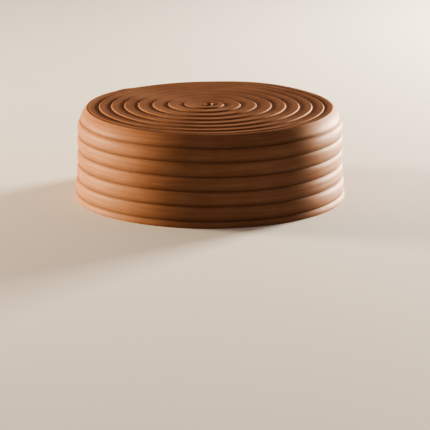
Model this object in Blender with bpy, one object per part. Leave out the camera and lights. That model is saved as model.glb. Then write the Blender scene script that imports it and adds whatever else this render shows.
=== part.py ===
"""A round layer cake under milk chocolate buttercream, with a spiral top and ringed sides.

The cake is whole, so it is one closed solid. It stands on its flat base with +Z up, its axis on
the Z axis and the base's centre at the origin. The front, as the cake is usually seen, faces -Y.
"""

import math

import bmesh
import bpy
from mathutils import Vector

MM = 0.001

# Driving sizes of the frosted body, in millimetres
RIM_HEIGHT = 72.6
BODY_RADIUS = 107.0
TAPER = 1.6
TAPER_HEIGHT = 20.6
TAPER_POWER = 1.3
# The shoulder's rounding: its full width and drop, and the share of the drop where the top cuts it
SHOULDER_WIDTH = 20.0
SHOULDER_DROP = 22.0
RIM_SHARE = 0.7
DOME_RISE = 2.0
BASE_SPREAD = 2.3
BASE_SPREAD_HEIGHT = 32.0

# Where the rim swells or sinks: its middle and half spread in degrees, and its height
RIM_SWELLS = (
    (64, 34, 1.0),
    (126, 32, -0.6),
    (270, 84, -1.3),
)

# The comb's level rings round the side, in millimetres
GROOVES = 6
GROOVE_LOWEST = 5.1
GROOVE_SPACING = 11.52
# Each band bulges out quickly under a groove, and leans in slowly towards the groove below
BAND_CROWN = 0.35
GROOVE_DEPTH = 1.5
REACH_UNDER_GROOVE = 1.4
REACH_OVER_GROOVE = 2.4
# Heights of the rows of points about a groove, and down the foot under the lowest one
GROOVE_ROWS = (5.6, 3.0, 1.2, 0.0, -0.7, -1.6, -3.5)
FOOT_ROWS = (4.4, 3.4, 1.2, 0.0)
FOOT_SWELL = 0.3
FOOT_EDGE = 0.4
FOOT_EDGE_HEIGHT = 1.0

# The palette knife's spiral on top, in millimetres and turns
SPIRAL_CENTRE = (-1.1, -0.4)
SPIRAL_START = 11.1
SPIRAL_PITCH = 14.0
SPIRAL_PITCH_LOSS = 0.342
SPIRAL_END = 7.5
SPIRAL_END_FADE = 0.5
RIDGE_RISE = 0.55
CURL_RISE = 0.45
CURL_REACH = 12.0
RIM_FADE = 4.0
CENTRE_FADE = 5.0
# Nearer the centre or the rim than this, a point is set right on it
CENTRE_SNAP = 1.0
RIM_SNAP = 1.3

# How finely the surface is divided
COLUMNS = 60
FIRST_TURN = -3
LAST_TURN = 9
# Share of a turn outwards from the ridge's crest, and the height there as a share of its rise:
# a steep step down on the crest's outer side, then a slow rise to the next turn's crest
RIDGE_SECTION = ((0.0, 1.0), (0.09, -1.0), (0.4, -0.13), (0.7, 0.56))
# Shares of the shoulder's drop where its rows lie, from the rim down
SHOULDER_SHARES = (0.65, 0.57)

MERGE_DISTANCE = 0.00001
SHARP_ANGLE = math.radians(55)

BUTTERCREAM_COLOUR = (0.25, 0.12, 0.06, 1.0)
BUTTERCREAM_ROUGHNESS = 0.42


def clear_scene():
    """Empties the scene."""
    for thing in list(bpy.data.objects):
        bpy.data.objects.remove(thing)


def smooth_step(share):
    """Goes from 0 to 1 with level ends as share goes from 0 to 1."""
    share = min(1.0, max(0.0, share))
    return share * share * (3 - 2 * share)


def rim_swell(place):
    """How far the rim stands above its usual height, in the direction of a place."""
    degrees = math.degrees(math.atan2(place.y, place.x))
    swell = 0.0
    for middle, spread, height in RIM_SWELLS:
        away = abs((degrees - middle + 180) % 360 - 180) / spread
        swell += height * (1 - smooth_step(away))
    return swell


def plain_radius(height):
    """The side's radius at a height, before the comb: a rounded shoulder and a spreading base."""
    above = max(0.0, height - RIM_HEIGHT + TAPER_HEIGHT)
    taper = TAPER * (above / TAPER_HEIGHT) ** TAPER_POWER
    share = max(0.0, RIM_SHARE - (RIM_HEIGHT - height) / SHOULDER_DROP)
    bend = math.sqrt(1 - share * share)
    spread = BASE_SPREAD * smooth_step(1 - height / BASE_SPREAD_HEIGHT)
    return BODY_RADIUS - taper - SHOULDER_WIDTH * (1 - bend) + spread


def rim_radius():
    """Where the top turns into the shoulder."""
    return plain_radius(RIM_HEIGHT)


def comb_relief(height):
    """What the comb adds to the radius at a height: a crowned band between two grooves."""
    relief = BAND_CROWN * smooth_step((RIM_HEIGHT - height) / SHOULDER_DROP)
    for groove in range(GROOVES):
        above = height - GROOVE_LOWEST - GROOVE_SPACING * groove
        reach = REACH_OVER_GROOVE if above > 0 else REACH_UNDER_GROOVE
        relief -= GROOVE_DEPTH * math.exp(-abs(above) / reach)
    return relief


def foot_relief(height):
    """What the foot adds to the radius: a slight swell, and a rounded lower edge."""
    swell = FOOT_SWELL * smooth_step((GROOVE_LOWEST - height) / FOOT_EDGE_HEIGHT)
    return swell - FOOT_EDGE * (1 - smooth_step(height / FOOT_EDGE_HEIGHT))


def side_heights():
    """The heights of the side's rows of points, from below the rim down to the base."""
    heights = [RIM_HEIGHT - SHOULDER_DROP * (RIM_SHARE - share) for share in SHOULDER_SHARES]
    for groove in reversed(range(GROOVES)):
        level = GROOVE_LOWEST + GROOVE_SPACING * groove
        heights += [level + above for above in GROOVE_ROWS if groove or above >= 0]
    return heights + list(FOOT_ROWS)


def spiral_radius(turns):
    """How far from the spiral's centre its ridge is after a number of turns."""
    if turns < 0:
        return SPIRAL_START * math.exp(SPIRAL_PITCH / SPIRAL_START * turns)
    return SPIRAL_START + SPIRAL_PITCH * turns - SPIRAL_PITCH_LOSS * turns * turns


def reach_to_rim(direction):
    """The distance from the spiral's centre to the rim in a direction."""
    centre = Vector(SPIRAL_CENTRE)
    along = centre.dot(direction)
    return -along + math.sqrt(along * along - centre.length_squared + rim_radius() ** 2)


def top_point(column, row):
    """A point of the top. Its rows wind outwards with the ridge, clockwise from the right."""
    whole, part = divmod(row, len(RIDGE_SECTION))
    share, lift = RIDGE_SECTION[part]
    turns = FIRST_TURN + whole + share + column / COLUMNS
    angle = -2 * math.pi * column / COLUMNS
    direction = Vector((math.cos(angle), math.sin(angle)))
    limit = reach_to_rim(direction)
    reach = spiral_radius(turns)
    if reach < CENTRE_SNAP:
        reach = 0.0
    if reach > limit - RIM_SNAP:
        reach = limit
    place = Vector(SPIRAL_CENTRE) + reach * direction
    fade = smooth_step(reach / CENTRE_FADE) * smooth_step((limit - reach) / RIM_FADE)
    fade *= smooth_step((SPIRAL_END - turns) / SPIRAL_END_FADE)
    rise = RIDGE_RISE + CURL_RISE * (1 - smooth_step(reach / CURL_REACH))
    out = place.length / rim_radius()
    dome = DOME_RISE * (1 - out * out) + rim_swell(place) * smooth_step(out)
    return Vector((place.x, place.y, RIM_HEIGHT + dome + rise * lift * fade)) * MM


def wind_top(mesh):
    """Lays a grid of faces along the spiral, and closes it at its seam, centre and rim."""
    rows = (LAST_TURN - FIRST_TURN) * len(RIDGE_SECTION)
    grid = bmesh.ops.create_grid(mesh, x_segments=COLUMNS, y_segments=rows, size=1.0)
    for point in grid["verts"]:
        column = round((point.co.x + 1) / 2 * COLUMNS)
        row = round((point.co.y + 1) / 2 * rows)
        point.co = top_point(column, row)
    bmesh.ops.remove_doubles(mesh, verts=mesh.verts, dist=MERGE_DISTANCE)


def draw_down_side(mesh):
    """Extrudes the rim's edges down the side, row by row, and closes the base with one face."""
    edges = [edge for edge in mesh.edges if edge.is_boundary]
    for height in side_heights():
        radius = plain_radius(height) + comb_relief(height) + foot_relief(height)
        share_of_swell = smooth_step(1 - (RIM_HEIGHT - height) / SHOULDER_DROP)
        made = bmesh.ops.extrude_edge_only(mesh, edges=edges)["geom"]
        points = [part for part in made if isinstance(part, bmesh.types.BMVert)]
        edges = [part for part in made if isinstance(part, bmesh.types.BMEdge) and part.is_boundary]
        for point in points:
            outwards = point.co.xy.normalized() * radius
            raised = height + rim_swell(outwards) * share_of_swell
            point.co = Vector((outwards.x, outwards.y, raised)) * MM
    bmesh.ops.contextual_create(mesh, geom=edges)


def buttercream():
    """Milk chocolate buttercream."""
    material = bpy.data.materials.new("buttercream")
    material.use_nodes = True
    shader = material.node_tree.nodes["Principled BSDF"]
    shader.inputs["Base Color"].default_value = BUTTERCREAM_COLOUR
    shader.inputs["Roughness"].default_value = BUTTERCREAM_ROUGHNESS
    shader.inputs["Metallic"].default_value = 0.0
    return material


def make_cake(collection):
    """The whole frosted cake, as one solid."""
    mesh = bmesh.new()
    wind_top(mesh)
    draw_down_side(mesh)
    bmesh.ops.recalc_face_normals(mesh, faces=mesh.faces)
    data = bpy.data.meshes.new("cake")
    mesh.to_mesh(data)
    mesh.free()
    data.shade_smooth()
    data.set_sharp_from_angle(angle=SHARP_ANGLE)
    data.materials.append(buttercream())
    cake = bpy.data.objects.new("cake", data)
    collection.objects.link(cake)
    return cake


def main():
    """Builds the cake in a collection of its own."""
    clear_scene()
    collection = bpy.data.collections.new("chocolate_buttercream_cake")
    bpy.context.scene.collection.children.link(collection)
    make_cake(collection)


main()
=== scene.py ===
"""The looks of a whole round cake under milk chocolate buttercream.

The frosting is one fine mesh: a spiral drawn on top with a palette knife, a rounded shoulder,
a side combed into level bands, and a foot pressed against what the cake stands on.
"""

import math

import bmesh
import bpy
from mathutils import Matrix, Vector, noise


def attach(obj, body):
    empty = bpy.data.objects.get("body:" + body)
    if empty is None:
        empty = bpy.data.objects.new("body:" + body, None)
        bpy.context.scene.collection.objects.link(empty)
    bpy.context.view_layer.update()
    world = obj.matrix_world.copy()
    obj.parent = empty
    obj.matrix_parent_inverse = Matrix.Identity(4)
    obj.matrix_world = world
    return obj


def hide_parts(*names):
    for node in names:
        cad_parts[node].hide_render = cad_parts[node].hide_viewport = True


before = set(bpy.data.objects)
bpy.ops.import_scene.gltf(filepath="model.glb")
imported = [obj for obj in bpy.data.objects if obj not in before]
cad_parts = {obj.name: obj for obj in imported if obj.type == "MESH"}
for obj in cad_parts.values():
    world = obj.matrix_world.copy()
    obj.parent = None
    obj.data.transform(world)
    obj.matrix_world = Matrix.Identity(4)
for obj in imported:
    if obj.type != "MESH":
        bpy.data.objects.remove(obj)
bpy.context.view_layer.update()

MM = 0.001

# The frosted body, in millimetres
RIM_HEIGHT = 72.6
BODY_RADIUS = 107.0
TAPER = 1.6
TAPER_HEIGHT = 20.6
TAPER_POWER = 1.3
# The shoulder's rounding: its full width and drop, and the share of the drop where the top cuts it
SHOULDER_WIDTH = 20.0
SHOULDER_DROP = 22.0
RIM_SHARE = 0.7
DOME_RISE = 2.0
BASE_SPREAD = 2.3
BASE_SPREAD_HEIGHT = 32.0

# Where the rim swells or sinks: its middle and half spread in degrees, and its height
RIM_SWELLS = (
    (64, 34, 1.0),
    (126, 32, -0.6),
    (270, 84, -1.3),
)
# A small knob on the back left of the rim, and how far in it reaches as a share of the radius
RIM_KNOB = (136, 8, 0.5)
RIM_KNOB_REACH = 0.08

# The comb's level rings round the side, in millimetres
GROOVES = 6
GROOVE_LOWEST = 5.1
GROOVE_SPACING = 11.52
# Each band bulges out quickly under a groove, and leans in slowly towards the groove below
BAND_CROWN = 0.35
GROOVE_DEPTH = 1.5
REACH_UNDER_GROOVE = 1.4
REACH_OVER_GROOVE = 2.4
# How far the painted shade of a groove reaches below and above it: darker colour that stands in for
# the shadow in the groove
PAINTED_SHADE_UNDER_GROOVE = 0.5
PAINTED_SHADE_OVER_GROOVE = 1.5
# The faint line in a band: its depth and reach, its usual strength, and its place in the band
MID_LINE_DEPTH = 0.25
MID_LINE_REACH = 0.55
MID_LINE_STRENGTH = 0.6
MID_LINE_PLACE = 0.5
FOOT_EDGE = 0.4
FOOT_EDGE_HEIGHT = 1.0
# The side's unevenness fades out this near the rim, and the grooves' sway this near the base
CALM_UNDER_RIM = 6.0
CALM_OVER_BASE = 6.0

# The spiral on top, in millimetres and turns
SPIRAL_CENTRE = Vector((-1.1, -0.4))
SPIRAL_START = 11.1
SPIRAL_PITCH = 14.0
SPIRAL_PITCH_LOSS = 0.342
SPIRAL_END = 7.5
SPIRAL_END_FADE = 0.5
# The ridge: half its height, the share of a turn that its steep step takes, and how its slow
# rise bends
RIDGE_RISE = 0.46
RIDGE_STEP_SHARE = 0.11
RIDGE_POWER = 1.35
# The share by which the ridge's rise varies, and the patches in a millimetre
RIDGE_VARIES = 0.16
RIDGE_PATCHES = 0.045
# The curl in the middle stands this much higher, out to this reach
CURL_RISE = 0.3
CURL_REACH = 12.0
# The inmost turn lies flat on the left: after so many turns, and within so much of a turn
CURL_FLAT_AT = -0.5
CURL_FLAT_REACH = 0.33
# How dark the painted shade in the crease at the foot of the step is, against a groove's painted
# shade, and its width in turns
CREASE_PAINTED_SHADE = 0.05
CREASE_PAINTED_SHADE_WIDTH = 0.04
# Near the rim the ridge fades to a slight lip, a share of its rise, and near the centre to nothing
RIM_FADE = 4.0
RIM_LIP = 0.4
CENTRE_FADE = 3.0
# Nearer the centre or the rim than this, a point is set right on it
CENTRE_SNAP = 0.6
RIM_SNAP = 0.5

# Thin ridges that the knife's edge left near the rim: radius, height, middle and half spread
KNIFE_EDGE_RIDGES = (
    (96.3, 0.45, 208, 62),
    (97.9, 0.30, 20, 66),
)
KNIFE_EDGE_WIDTH = 0.9

# Slow wanderings of hand-spread frosting round the cake. Each has its size, in millimetres or as a
# share, how much it changes over one step (a groove, or a millimetre up or out), a seed that sets
# it apart from the others, and its waves in a turn
GROOVE_DEPTH_WANDER = (0.25, 7.3, 31, 9)
GROOVE_SWAY_WANDER = (0.3, 0.02, 90, 6)
LINE_STRENGTH_WANDER = (1.2, 3.1, 57, 3)
LINE_PLACE_WANDER = (0.05, 5.7, 12, 4)
SIDE_BROAD_WANDER = (0.22, 0.03, 3, 5)
SIDE_FINE_WANDER = (0.10, 0.09, 71, 17)
SPIRAL_WANDER = (0.35, 0.02, 23, 3)
TOP_WANDER = (0.06, 0.05, 8, 7)
KNIFE_EDGE_WANDER = (0.5, 1.0, 5, 4)

# How finely the frosting is divided: columns round it, and the top's rows across each turn
COLUMNS = 300
FIRST_TURN = -4
LAST_TURN = 9
RIDGE_SHARES = (
    0.0, 0.02, 0.04, 0.06, 0.08, 0.1, 0.12, 0.155,
    0.22, 0.33, 0.46, 0.6, 0.75, 0.88, 0.96,
)
# The side's rows: closer together near the rim, about each groove, and down the foot
SHOULDER_ROWS = 12
SHOULDER_ROWS_POWER = 1.7
ROWS_ABOVE_GROOVE = (5.6, 4.7, 3.9, 3.2, 2.6, 2.1, 1.65, 1.25, 0.9, 0.6, 0.3)
ROWS_BELOW_GROOVE = (0.0, 0.15, 0.35, 0.55, 0.75, 0.95, 1.2, 1.5, 1.9, 2.4, 3.1, 4.0, 4.9)
FOOT_ROWS = (4.9, 4.7, 4.5, 4.25, 4.0, 3.7, 3.3, 2.8, 2.0, 1.2, 0.5, 0.15, 0.0)
# In metres
MERGE_DISTANCE = 0.000002


def smooth_step(share):
    """Goes from 0 to 1 with level ends as share goes from 0 to 1."""
    share = min(1.0, max(0.0, share))
    return share * share * (3 - 2 * share)


def bump(distance, reach):
    """A smooth bump, 1 high at no distance and nearly 0 at twice its reach."""
    return math.exp(-((distance / reach) ** 2))


def wander(pattern, angle, step):
    """A slow wandering about 0, at an angle round the cake and a step; a full turn repeats it."""
    size, change, seed, waves = pattern
    around = waves / (2 * math.pi)
    place = (math.cos(angle) * around, math.sin(angle) * around, step * change + seed)
    return size * noise.noise(Vector(place))


def spread_share(angle, middle, spread):
    """How much of a swell is at an angle: 1 at its middle, 0 past its half spread in degrees."""
    away = abs((math.degrees(angle) - middle + 180) % 360 - 180)
    return 1 - smooth_step(away / spread)


def rim_swell(angle, swells):
    """How far swells of the rim stand above its usual height, round the axis by an angle."""
    swell = 0.0
    for middle, spread, height in swells:
        swell += height * spread_share(angle, middle, spread)
    return swell


def plain_radius(height):
    """The side's radius at a height, before the comb: a rounded shoulder and a spreading base."""
    above = max(0.0, height - RIM_HEIGHT + TAPER_HEIGHT)
    taper = TAPER * (above / TAPER_HEIGHT) ** TAPER_POWER
    share = max(0.0, RIM_SHARE - (RIM_HEIGHT - height) / SHOULDER_DROP)
    bend = math.sqrt(1 - share * share)
    spread = BASE_SPREAD * smooth_step(1 - height / BASE_SPREAD_HEIGHT)
    return BODY_RADIUS - taper - SHOULDER_WIDTH * (1 - bend) + spread


def rim_radius():
    """Where the top turns into the shoulder."""
    return plain_radius(RIM_HEIGHT)


def above_groove(height, groove):
    """How far a height is above a groove, below 0 under it."""
    return height - GROOVE_LOWEST - GROOVE_SPACING * groove


def groove_section(above, reach_under, reach_over):
    """A groove's section, 1 at its middle: it reaches less far under than over it."""
    return math.exp(-abs(above) / (reach_over if above > 0 else reach_under))


def mid_line(groove, above, angle):
    """The faint line that comes and goes along the middle of the band over a groove."""
    strength = smooth_step(MID_LINE_STRENGTH + wander(LINE_STRENGTH_WANDER, angle, groove))
    middle = GROOVE_SPACING * (MID_LINE_PLACE + wander(LINE_PLACE_WANDER, angle, groove))
    return MID_LINE_DEPTH * strength * bump(above - middle, MID_LINE_REACH)


def comb_relief(height, angle):
    """What the comb adds to the radius at a height: a crowned band between two grooves."""
    relief = BAND_CROWN * smooth_step((RIM_HEIGHT - height) / SHOULDER_DROP)
    for groove in range(GROOVES):
        above = above_groove(height, groove)
        depth = GROOVE_DEPTH * (1 + wander(GROOVE_DEPTH_WANDER, angle, groove))
        relief -= depth * groove_section(above, REACH_UNDER_GROOVE, REACH_OVER_GROOVE)
        if groove < GROOVES - 1:
            relief -= mid_line(groove, above, angle)
    return relief


def comb_painted_shade(height):
    """How much painted shade a height gets from the grooves near it, from 0 to 1."""
    painted_shade = 0.0
    for groove in range(GROOVES):
        above = above_groove(height, groove)
        painted_shade += groove_section(above, PAINTED_SHADE_UNDER_GROOVE, PAINTED_SHADE_OVER_GROOVE)
    return min(1.0, painted_shade)


def foot_relief(height):
    """The foot's rounded lower edge."""
    return -FOOT_EDGE * (1 - smooth_step(height / FOOT_EDGE_HEIGHT))


def side_unevenness(angle, height):
    """The slow unevenness of the hand-spread side."""
    return wander(SIDE_BROAD_WANDER, angle, height) + wander(SIDE_FINE_WANDER, angle, height)


def side_heights():
    """The heights of the side's rows of points, from below the rim down to the base."""
    top_groove = GROOVE_LOWEST + GROOVE_SPACING * (GROOVES - 1)
    room = RIM_HEIGHT - top_groove - ROWS_ABOVE_GROOVE[0]
    heights = []
    for step in range(1, SHOULDER_ROWS):
        heights.append(RIM_HEIGHT - room * (step / SHOULDER_ROWS) ** SHOULDER_ROWS_POWER)
    for groove in reversed(range(GROOVES)):
        level = GROOVE_LOWEST + GROOVE_SPACING * groove
        heights += [level + step for step in ROWS_ABOVE_GROOVE]
        if groove:
            heights += [level - step for step in ROWS_BELOW_GROOVE]
    return heights + [GROOVE_LOWEST] + list(FOOT_ROWS)


def side_point(angle, height):
    """A point of the side, round the axis by an angle and at a height."""
    radius = plain_radius(height) + comb_relief(height, angle) + foot_relief(height)
    radius += side_unevenness(angle, height) * smooth_step((RIM_HEIGHT - height) / CALM_UNDER_RIM)
    swell = rim_swell(angle, RIM_SWELLS + (RIM_KNOB,))
    raised = height + swell * smooth_step(1 - (RIM_HEIGHT - height) / SHOULDER_DROP)
    raised += wander(GROOVE_SWAY_WANDER, angle, height) * smooth_step(height / CALM_OVER_BASE)
    return Vector((radius * math.cos(angle), radius * math.sin(angle), raised)) * MM


def spiral_radius(turns):
    """How far from the spiral's centre its ridge is after a number of turns."""
    if turns < 0:
        return SPIRAL_START * math.exp(SPIRAL_PITCH / SPIRAL_START * turns)
    return SPIRAL_START + SPIRAL_PITCH * turns - SPIRAL_PITCH_LOSS * turns * turns


def reach_to_rim(direction):
    """The distance from the spiral's centre to the rim in a direction."""
    along = SPIRAL_CENTRE.dot(direction)
    return -along + math.sqrt(along * along - SPIRAL_CENTRE.length_squared + rim_radius() ** 2)


def ridge_lift(share):
    """The height across one turn, from -1 to 1: a steep outer step, then a slow rise."""
    if share < RIDGE_STEP_SHARE:
        return math.cos(math.pi * share / RIDGE_STEP_SHARE)
    rest = (share - RIDGE_STEP_SHARE) / (1 - RIDGE_STEP_SHARE)
    return 1 - 2 * (1 - rest) ** RIDGE_POWER


def ridge_rise(turns, reach, direction):
    """Half the ridge's height: more in the curl, less on its flat left side, and a bit uneven."""
    rise = RIDGE_RISE + CURL_RISE * (1 - smooth_step(reach / CURL_REACH))
    rise *= 1 - bump(turns - CURL_FLAT_AT, CURL_FLAT_REACH) * smooth_step(-direction.x)
    return rise * (1 + RIDGE_VARIES * noise.noise(direction.to_3d() * reach * RIDGE_PATCHES))


def ridge_fade(turns, to_rim):
    """How much of the ridge remains near the rim and at the spiral's end, from 0 to 1."""
    near_end = smooth_step((SPIRAL_END - turns) / SPIRAL_END_FADE)
    return smooth_step(to_rim / RIM_FADE) * near_end


def knife_edge_lift(place):
    """The height of the thin ridges that the knife's edge left near the rim."""
    lift = 0.0
    angle = math.atan2(place.y, place.x)
    for radius, height, middle, spread in KNIFE_EDGE_RIDGES:
        wavy = radius + wander(KNIFE_EDGE_WANDER, angle, radius)
        along = spread_share(angle, middle, spread)
        lift += height * along * bump(place.length - wavy, KNIFE_EDGE_WIDTH)
    return lift


def dome_lift(place):
    """How far the top stands above the rim's usual height, before the spiral is drawn."""
    out = place.length / rim_radius()
    angle = math.atan2(place.y, place.x)
    lift = DOME_RISE * (1 - out * out) + rim_swell(angle, RIM_SWELLS) * smooth_step(out)
    near_rim = smooth_step(1 + (out - 1) / RIM_KNOB_REACH)
    return lift + rim_swell(angle, (RIM_KNOB,)) * near_rim


def top_point(column, row):
    """A point of the top, and how much painted shade its colour gets in the crease at the foot of
    the step.

    The rows wind outwards with the ridge, and the columns go clockwise from the right.
    """
    whole, part = divmod(row, len(RIDGE_SHARES))
    share = RIDGE_SHARES[part]
    turns = FIRST_TURN + whole + share + column / COLUMNS
    angle = -2 * math.pi * column / COLUMNS
    direction = Vector((math.cos(angle), math.sin(angle)))
    limit = reach_to_rim(direction)
    reach = spiral_radius(turns)
    if reach < CENTRE_SNAP:
        reach = 0.0
    if reach > limit - RIM_SNAP:
        reach = limit
    to_rim = limit - reach
    from_centre = smooth_step(reach / CENTRE_FADE)
    fade = ridge_fade(turns, to_rim)
    sway = wander(SPIRAL_WANDER, angle, reach) * smooth_step(to_rim / RIM_FADE)
    place = SPIRAL_CENTRE + (reach + sway * from_centre) * direction
    rise = ridge_rise(turns, reach, direction)
    lift = RIM_LIP + (ridge_lift(share) - RIM_LIP) * fade
    height = RIM_HEIGHT + dome_lift(place) + rise * lift * from_centre
    height += knife_edge_lift(place) + wander(TOP_WANDER, angle, reach) * fade
    # The painted shade that darkens the colour in the crease at the foot of the step
    painted_shade = CREASE_PAINTED_SHADE * fade * bump(share - RIDGE_STEP_SHARE, CREASE_PAINTED_SHADE_WIDTH)
    return Vector((place.x, place.y, height)) * MM, painted_shade


def wind_top(mesh, shade):
    """Lays a grid of faces along the spiral, and closes it at its seam, centre and rim."""
    rows = (LAST_TURN - FIRST_TURN) * len(RIDGE_SHARES)
    grid = bmesh.ops.create_grid(mesh, x_segments=COLUMNS, y_segments=rows, size=1.0)
    for point in grid["verts"]:
        column = round((point.co.x + 1) / 2 * COLUMNS)
        row = round((point.co.y + 1) / 2 * rows)
        point.co, point[shade] = top_point(column, row)
    bmesh.ops.remove_doubles(mesh, verts=mesh.verts, dist=MERGE_DISTANCE)


def comb_side(mesh, shade):
    """Extrudes the rim's edges down the side, row by row, and closes the base with one face."""
    edges = [edge for edge in mesh.edges if edge.is_boundary]
    for height in side_heights():
        made = bmesh.ops.extrude_edge_only(mesh, edges=edges)["geom"]
        points = [part for part in made if isinstance(part, bmesh.types.BMVert)]
        edges = [part for part in made if isinstance(part, bmesh.types.BMEdge) and part.is_boundary]
        for point in points:
            point.co = side_point(math.atan2(point.co.y, point.co.x), height)
            # Each point of the side keeps the painted shade of the grooves near it
            point[shade] = comb_painted_shade(height)
    bmesh.ops.contextual_create(mesh, geom=edges)


# The buttercream's two shades, the share of mottle against streaks that picks between them, and
# how much painted shade darkens it deep in a groove or a crease, standing in for the shadow there
BUTTERCREAM_DARK = (0.184, 0.094, 0.058, 1.0)
BUTTERCREAM_LIGHT = (0.244, 0.142, 0.097, 1.0)
MOTTLE_SHARE = 0.45
PAINTED_SHADE_DARKENING = 0.45
SPECULAR_LEVEL = 0.08
ROUGHNESS_LOW = 0.50
ROUGHNESS_HIGH = 0.62
# The light that soaks in: its share, how far each colour goes, and the scale in millimetres
SOAK_WEIGHT = 0.05
SOAK_RADIUS = (1.0, 0.55, 0.35)
SOAK_SCALE = 1.5
# Knife streaks: how many lie in a metre, how quickly they change along their length, their detail
BROAD_STREAKS = (420.0, 2.2, 2.0)
FINE_STREAKS = (1900.0, 5.0, 3.0)
STREAK_ROUGHNESS = 0.55
# Patches in a metre, and their detail
MOTTLE = (38.0, 3.0)
GRAIN = (900.0, 2.0)
# The range that most of a pattern lies in
PATTERN_LOW = 0.3
PATTERN_HIGH = 0.7
# The relief of the fine streaks and the grain, in millimetres
STREAK_DEPTH = 0.1
GRAIN_DEPTH = 0.04
RELIEF_STRENGTH = 0.6


def node(tree, kind, **settings):
    """Adds a shader node, and sets its properties."""
    made = tree.nodes.new(kind)
    for name, value in settings.items():
        setattr(made, name, value)
    return made


def streak_group():
    """Streaks that run with the knife: round the spiral's centre on top, level on the side."""
    tree = bpy.data.node_groups.new("knife_streaks", "ShaderNodeTree")
    for name in ("Across", "Along", "Detail"):
        tree.interface.new_socket(name, in_out="INPUT", socket_type="NodeSocketFloat")
    tree.interface.new_socket("Streak", in_out="OUTPUT", socket_type="NodeSocketFloat")
    links = tree.links
    given = node(tree, "NodeGroupInput")
    result = node(tree, "NodeGroupOutput")
    place = node(tree, "ShaderNodeTexCoord")
    centred = node(tree, "ShaderNodeMapping")
    centred.inputs["Location"].default_value = (-SPIRAL_CENTRE.x * MM, -SPIRAL_CENTRE.y * MM, 0)
    links.new(place.outputs["Object"], centred.inputs["Vector"])

    # Across the streaks, the pattern changes with the distance out and down
    apart = node(tree, "ShaderNodeSeparateXYZ")
    links.new(centred.outputs["Vector"], apart.inputs["Vector"])
    flat = node(tree, "ShaderNodeVectorMath", operation="MULTIPLY")
    flat.inputs[1].default_value = (1, 1, 0)
    links.new(centred.outputs["Vector"], flat.inputs[0])
    reach = node(tree, "ShaderNodeVectorMath", operation="LENGTH")
    links.new(flat.outputs["Vector"], reach.inputs[0])
    across = node(tree, "ShaderNodeMath", operation="SUBTRACT")
    links.new(reach.outputs["Value"], across.inputs[0])
    links.new(apart.outputs["Z"], across.inputs[1])
    scaled = node(tree, "ShaderNodeMath", operation="MULTIPLY")
    links.new(across.outputs["Value"], scaled.inputs[0])
    links.new(given.outputs["Across"], scaled.inputs[1])
    upright = node(tree, "ShaderNodeCombineXYZ")
    links.new(scaled.outputs["Value"], upright.inputs["Z"])

    # Along the streaks, it changes slowly with the direction round the centre
    direction = node(tree, "ShaderNodeVectorMath", operation="NORMALIZE")
    links.new(flat.outputs["Vector"], direction.inputs[0])
    along = node(tree, "ShaderNodeVectorMath", operation="SCALE")
    links.new(direction.outputs["Vector"], along.inputs[0])
    links.new(given.outputs["Along"], along.inputs["Scale"])

    whole = node(tree, "ShaderNodeVectorMath", operation="ADD")
    links.new(along.outputs["Vector"], whole.inputs[0])
    links.new(upright.outputs["Vector"], whole.inputs[1])
    pattern = node(tree, "ShaderNodeTexNoise")
    pattern.inputs["Scale"].default_value = 1.0
    pattern.inputs["Roughness"].default_value = STREAK_ROUGHNESS
    links.new(whole.outputs["Vector"], pattern.inputs["Vector"])
    links.new(given.outputs["Detail"], pattern.inputs["Detail"])
    links.new(pattern.outputs["Fac"], result.inputs["Streak"])
    return tree


def knife_streaks(tree, group, across, along, detail):
    """The streak pattern with its own fineness across and along the streaks."""
    streaks = node(tree, "ShaderNodeGroup", node_tree=group)
    streaks.inputs["Across"].default_value = across
    streaks.inputs["Along"].default_value = along
    streaks.inputs["Detail"].default_value = detail
    return streaks.outputs["Streak"]


def patches(tree, scale, detail):
    """A pattern of soft patches, fixed to the frosting."""
    place = node(tree, "ShaderNodeTexCoord")
    pattern = node(tree, "ShaderNodeTexNoise")
    pattern.inputs["Scale"].default_value = scale
    pattern.inputs["Detail"].default_value = detail
    tree.links.new(place.outputs["Object"], pattern.inputs["Vector"])
    return pattern.outputs["Fac"]


def spread_out(tree, pattern, low, high):
    """Stretches a pattern's middle range to go from low to high."""
    spread = node(tree, "ShaderNodeMapRange")
    spread.inputs["From Min"].default_value = PATTERN_LOW
    spread.inputs["From Max"].default_value = PATTERN_HIGH
    spread.inputs["To Min"].default_value = low
    spread.inputs["To Max"].default_value = high
    tree.links.new(pattern, spread.inputs["Value"])
    return spread.outputs["Result"]


def frosting_colour_with_painted_shade(tree, streaks, mottle):
    """The buttercream's colour: streaked and mottled, and darkened deep in the grooves and creases
    by painted shade.
    """
    links = tree.links
    mixed = node(tree, "ShaderNodeMix", data_type="FLOAT")
    mixed.inputs["Factor"].default_value = MOTTLE_SHARE
    links.new(streaks, mixed.inputs["A"])
    links.new(mottle, mixed.inputs["B"])
    tint = node(tree, "ShaderNodeMix", data_type="RGBA")
    tint.inputs["A"].default_value = BUTTERCREAM_DARK
    tint.inputs["B"].default_value = BUTTERCREAM_LIGHT
    links.new(spread_out(tree, mixed.outputs["Result"], 0.0, 1.0), tint.inputs["Factor"])
    # The painted shade in the grooves and creases, kept on each point of the mesh
    painted_shade = node(tree, "ShaderNodeAttribute", attribute_name="painted_shade")
    darker = node(tree, "ShaderNodeMapRange")
    darker.inputs["To Min"].default_value = 1.0
    darker.inputs["To Max"].default_value = 1.0 - PAINTED_SHADE_DARKENING
    links.new(painted_shade.outputs["Fac"], darker.inputs["Value"])
    shaded = node(tree, "ShaderNodeVectorMath", operation="SCALE")
    links.new(tint.outputs["Result"], shaded.inputs["Vector"])
    links.new(darker.outputs["Result"], shaded.inputs["Scale"])
    return shaded.outputs["Vector"]


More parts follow.
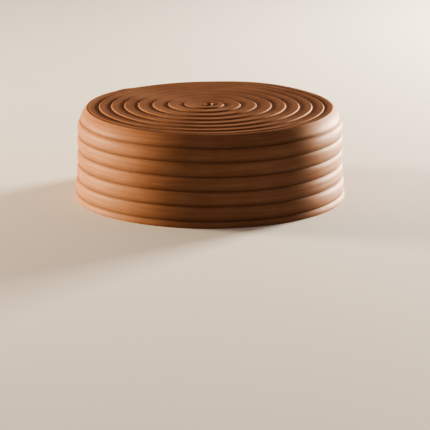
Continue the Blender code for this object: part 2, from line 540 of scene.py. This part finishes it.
def fine_relief(tree, pattern, depth, under=None):
    """Relief after a pattern, so many millimetres deep, over the relief that lies under it."""
    relief = node(tree, "ShaderNodeBump")
    relief.inputs["Strength"].default_value = RELIEF_STRENGTH
    relief.inputs["Distance"].default_value = depth * MM
    tree.links.new(pattern, relief.inputs["Height"])
    if under is not None:
        tree.links.new(under, relief.inputs["Normal"])
    return relief.outputs["Normal"]


def buttercream():
    """Milk chocolate buttercream: satin, faintly streaked by the knife, with a fine soft grain and
    painted shade in the grooves.
    """
    material = bpy.data.materials.new("buttercream")
    material.use_nodes = True
    tree = material.node_tree
    shader = tree.nodes["Principled BSDF"]
    shader.inputs["Specular IOR Level"].default_value = SPECULAR_LEVEL
    shader.inputs["Subsurface Weight"].default_value = SOAK_WEIGHT
    shader.inputs["Subsurface Radius"].default_value = SOAK_RADIUS
    shader.inputs["Subsurface Scale"].default_value = SOAK_SCALE * MM
    group = streak_group()
    broad = knife_streaks(tree, group, *BROAD_STREAKS)
    fine = knife_streaks(tree, group, *FINE_STREAKS)
    mottle = patches(tree, *MOTTLE)
    grain = patches(tree, *GRAIN)
    gloss = spread_out(tree, mottle, ROUGHNESS_LOW, ROUGHNESS_HIGH)
    streaked = fine_relief(tree, fine, STREAK_DEPTH)
    tree.links.new(frosting_colour_with_painted_shade(tree, broad, mottle), shader.inputs["Base Color"])
    tree.links.new(gloss, shader.inputs["Roughness"])
    tree.links.new(fine_relief(tree, grain, GRAIN_DEPTH, streaked), shader.inputs["Normal"])
    return material


def make_frosting():
    """The whole frosted surface, as one closed piece that stands for the CAD cake."""
    mesh = bmesh.new()
    # Each point keeps its painted shade: how much its colour is darkened in the grooves and creases
    shade = mesh.verts.layers.float.new("painted_shade")
    wind_top(mesh, shade)
    comb_side(mesh, shade)
    bmesh.ops.recalc_face_normals(mesh, faces=mesh.faces)
    data = bpy.data.meshes.new("frosting")
    mesh.to_mesh(data)
    mesh.free()
    data.shade_smooth()
    data.materials.append(buttercream())
    frosting = bpy.data.objects.new("frosting", data)
    bpy.context.scene.collection.objects.link(frosting)
    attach(frosting, "root")
    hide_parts("cake")


# The floor, in metres
FLOOR_SIDE = 8.0
FLOOR_COLOUR = (0.58, 0.61, 0.63, 1.0)
FLOOR_ROUGHNESS = 0.7


def make_floor():
    """A plain pale floor."""
    mesh = bmesh.new()
    bmesh.ops.create_grid(mesh, x_segments=1, y_segments=1, size=FLOOR_SIDE / 2)
    data = bpy.data.meshes.new("floor")
    mesh.to_mesh(data)
    mesh.free()
    material = bpy.data.materials.new("floor")
    material.use_nodes = True
    shader = material.node_tree.nodes["Principled BSDF"]
    shader.inputs["Base Color"].default_value = FLOOR_COLOUR
    shader.inputs["Roughness"].default_value = FLOOR_ROUGHNESS
    data.materials.append(material)
    floor = bpy.data.objects.new("floor", data)
    bpy.context.scene.collection.objects.link(floor)


# The photograph's viewpoint: metres, degrees, and the lens and picture width in millimetres
CAMERA_BACK = 1.822
CAMERA_HEIGHT = 0.4648
CAMERA_DOWN = 14.84
CAMERA_RIGHT = 0.13
CAMERA_LENS = 193.35
CAMERA_WIDTH = 36.0


def make_camera():
    """The camera, at the photograph's viewing angle."""
    data = bpy.data.cameras.new("camera")
    data.lens = CAMERA_LENS
    data.sensor_width = CAMERA_WIDTH
    camera = bpy.data.objects.new("camera", data)
    camera.location = (0.0, -CAMERA_BACK, CAMERA_HEIGHT)
    camera.rotation_euler = (math.radians(90 - CAMERA_DOWN), 0.0, -math.radians(CAMERA_RIGHT))
    bpy.context.scene.collection.objects.link(camera)
    bpy.context.scene.camera = camera


# A light's place and size: distance from the axis, height, width and tallness, in metres
LOW_LIGHT = (1.4, 0.18, 0.4, 0.25)
HIGH_LIGHT = (1.3, 1.5, 0.8, 0.5)
# The point that every light faces, half way up the cake
LIGHT_AIM = Vector((0, 0, 0.04))
# Each light: degrees round from the front, place and size, watts, and colour
LIGHTS = {
    "left_light": (-101, LOW_LIGHT, 78.0, (1.0, 0.73, 0.45)),
    "right_light": (130, LOW_LIGHT, 126.0, (1.0, 0.81, 0.61)),
    "front_light": (-30, HIGH_LIGHT, 6.0, (1.0, 0.68, 0.42)),
}
ROOM_COLOUR = (1.0, 0.84, 0.78, 1.0)
ROOM_STRENGTH = 0.26


def make_light(name, degrees, place_and_size, watts, colour):
    """A soft light that faces the cake, so many degrees round from the front."""
    distance, height, width, tall = place_and_size
    data = bpy.data.lights.new(name, "AREA")
    data.shape = "RECTANGLE"
    data.size = width
    data.size_y = tall
    data.energy = watts
    data.color = colour
    light = bpy.data.objects.new(name, data)
    angle = math.radians(degrees)
    place = Vector((distance * math.sin(angle), -distance * math.cos(angle), height))
    light.location = place
    light.rotation_euler = (LIGHT_AIM - place).to_track_quat("-Z", "Y").to_euler()
    bpy.context.scene.collection.objects.link(light)


def make_lights():
    """Low lights from the left and from behind on the right, and a faint high one in front."""
    for name, settings in LIGHTS.items():
        make_light(name, *settings)


def make_room():
    """A pale room round the cake, and a firm contrast for the picture."""
    world = bpy.data.worlds.new("soft_room")
    world.use_nodes = True
    background = world.node_tree.nodes["Background"]
    background.inputs["Color"].default_value = ROOM_COLOUR
    background.inputs["Strength"].default_value = ROOM_STRENGTH
    bpy.context.scene.world = world
    view = bpy.context.scene.view_settings
    view.view_transform = "AgX"
    view.look = "AgX - High Contrast"


make_frosting()
make_floor()
make_camera()
make_lights()
make_room()
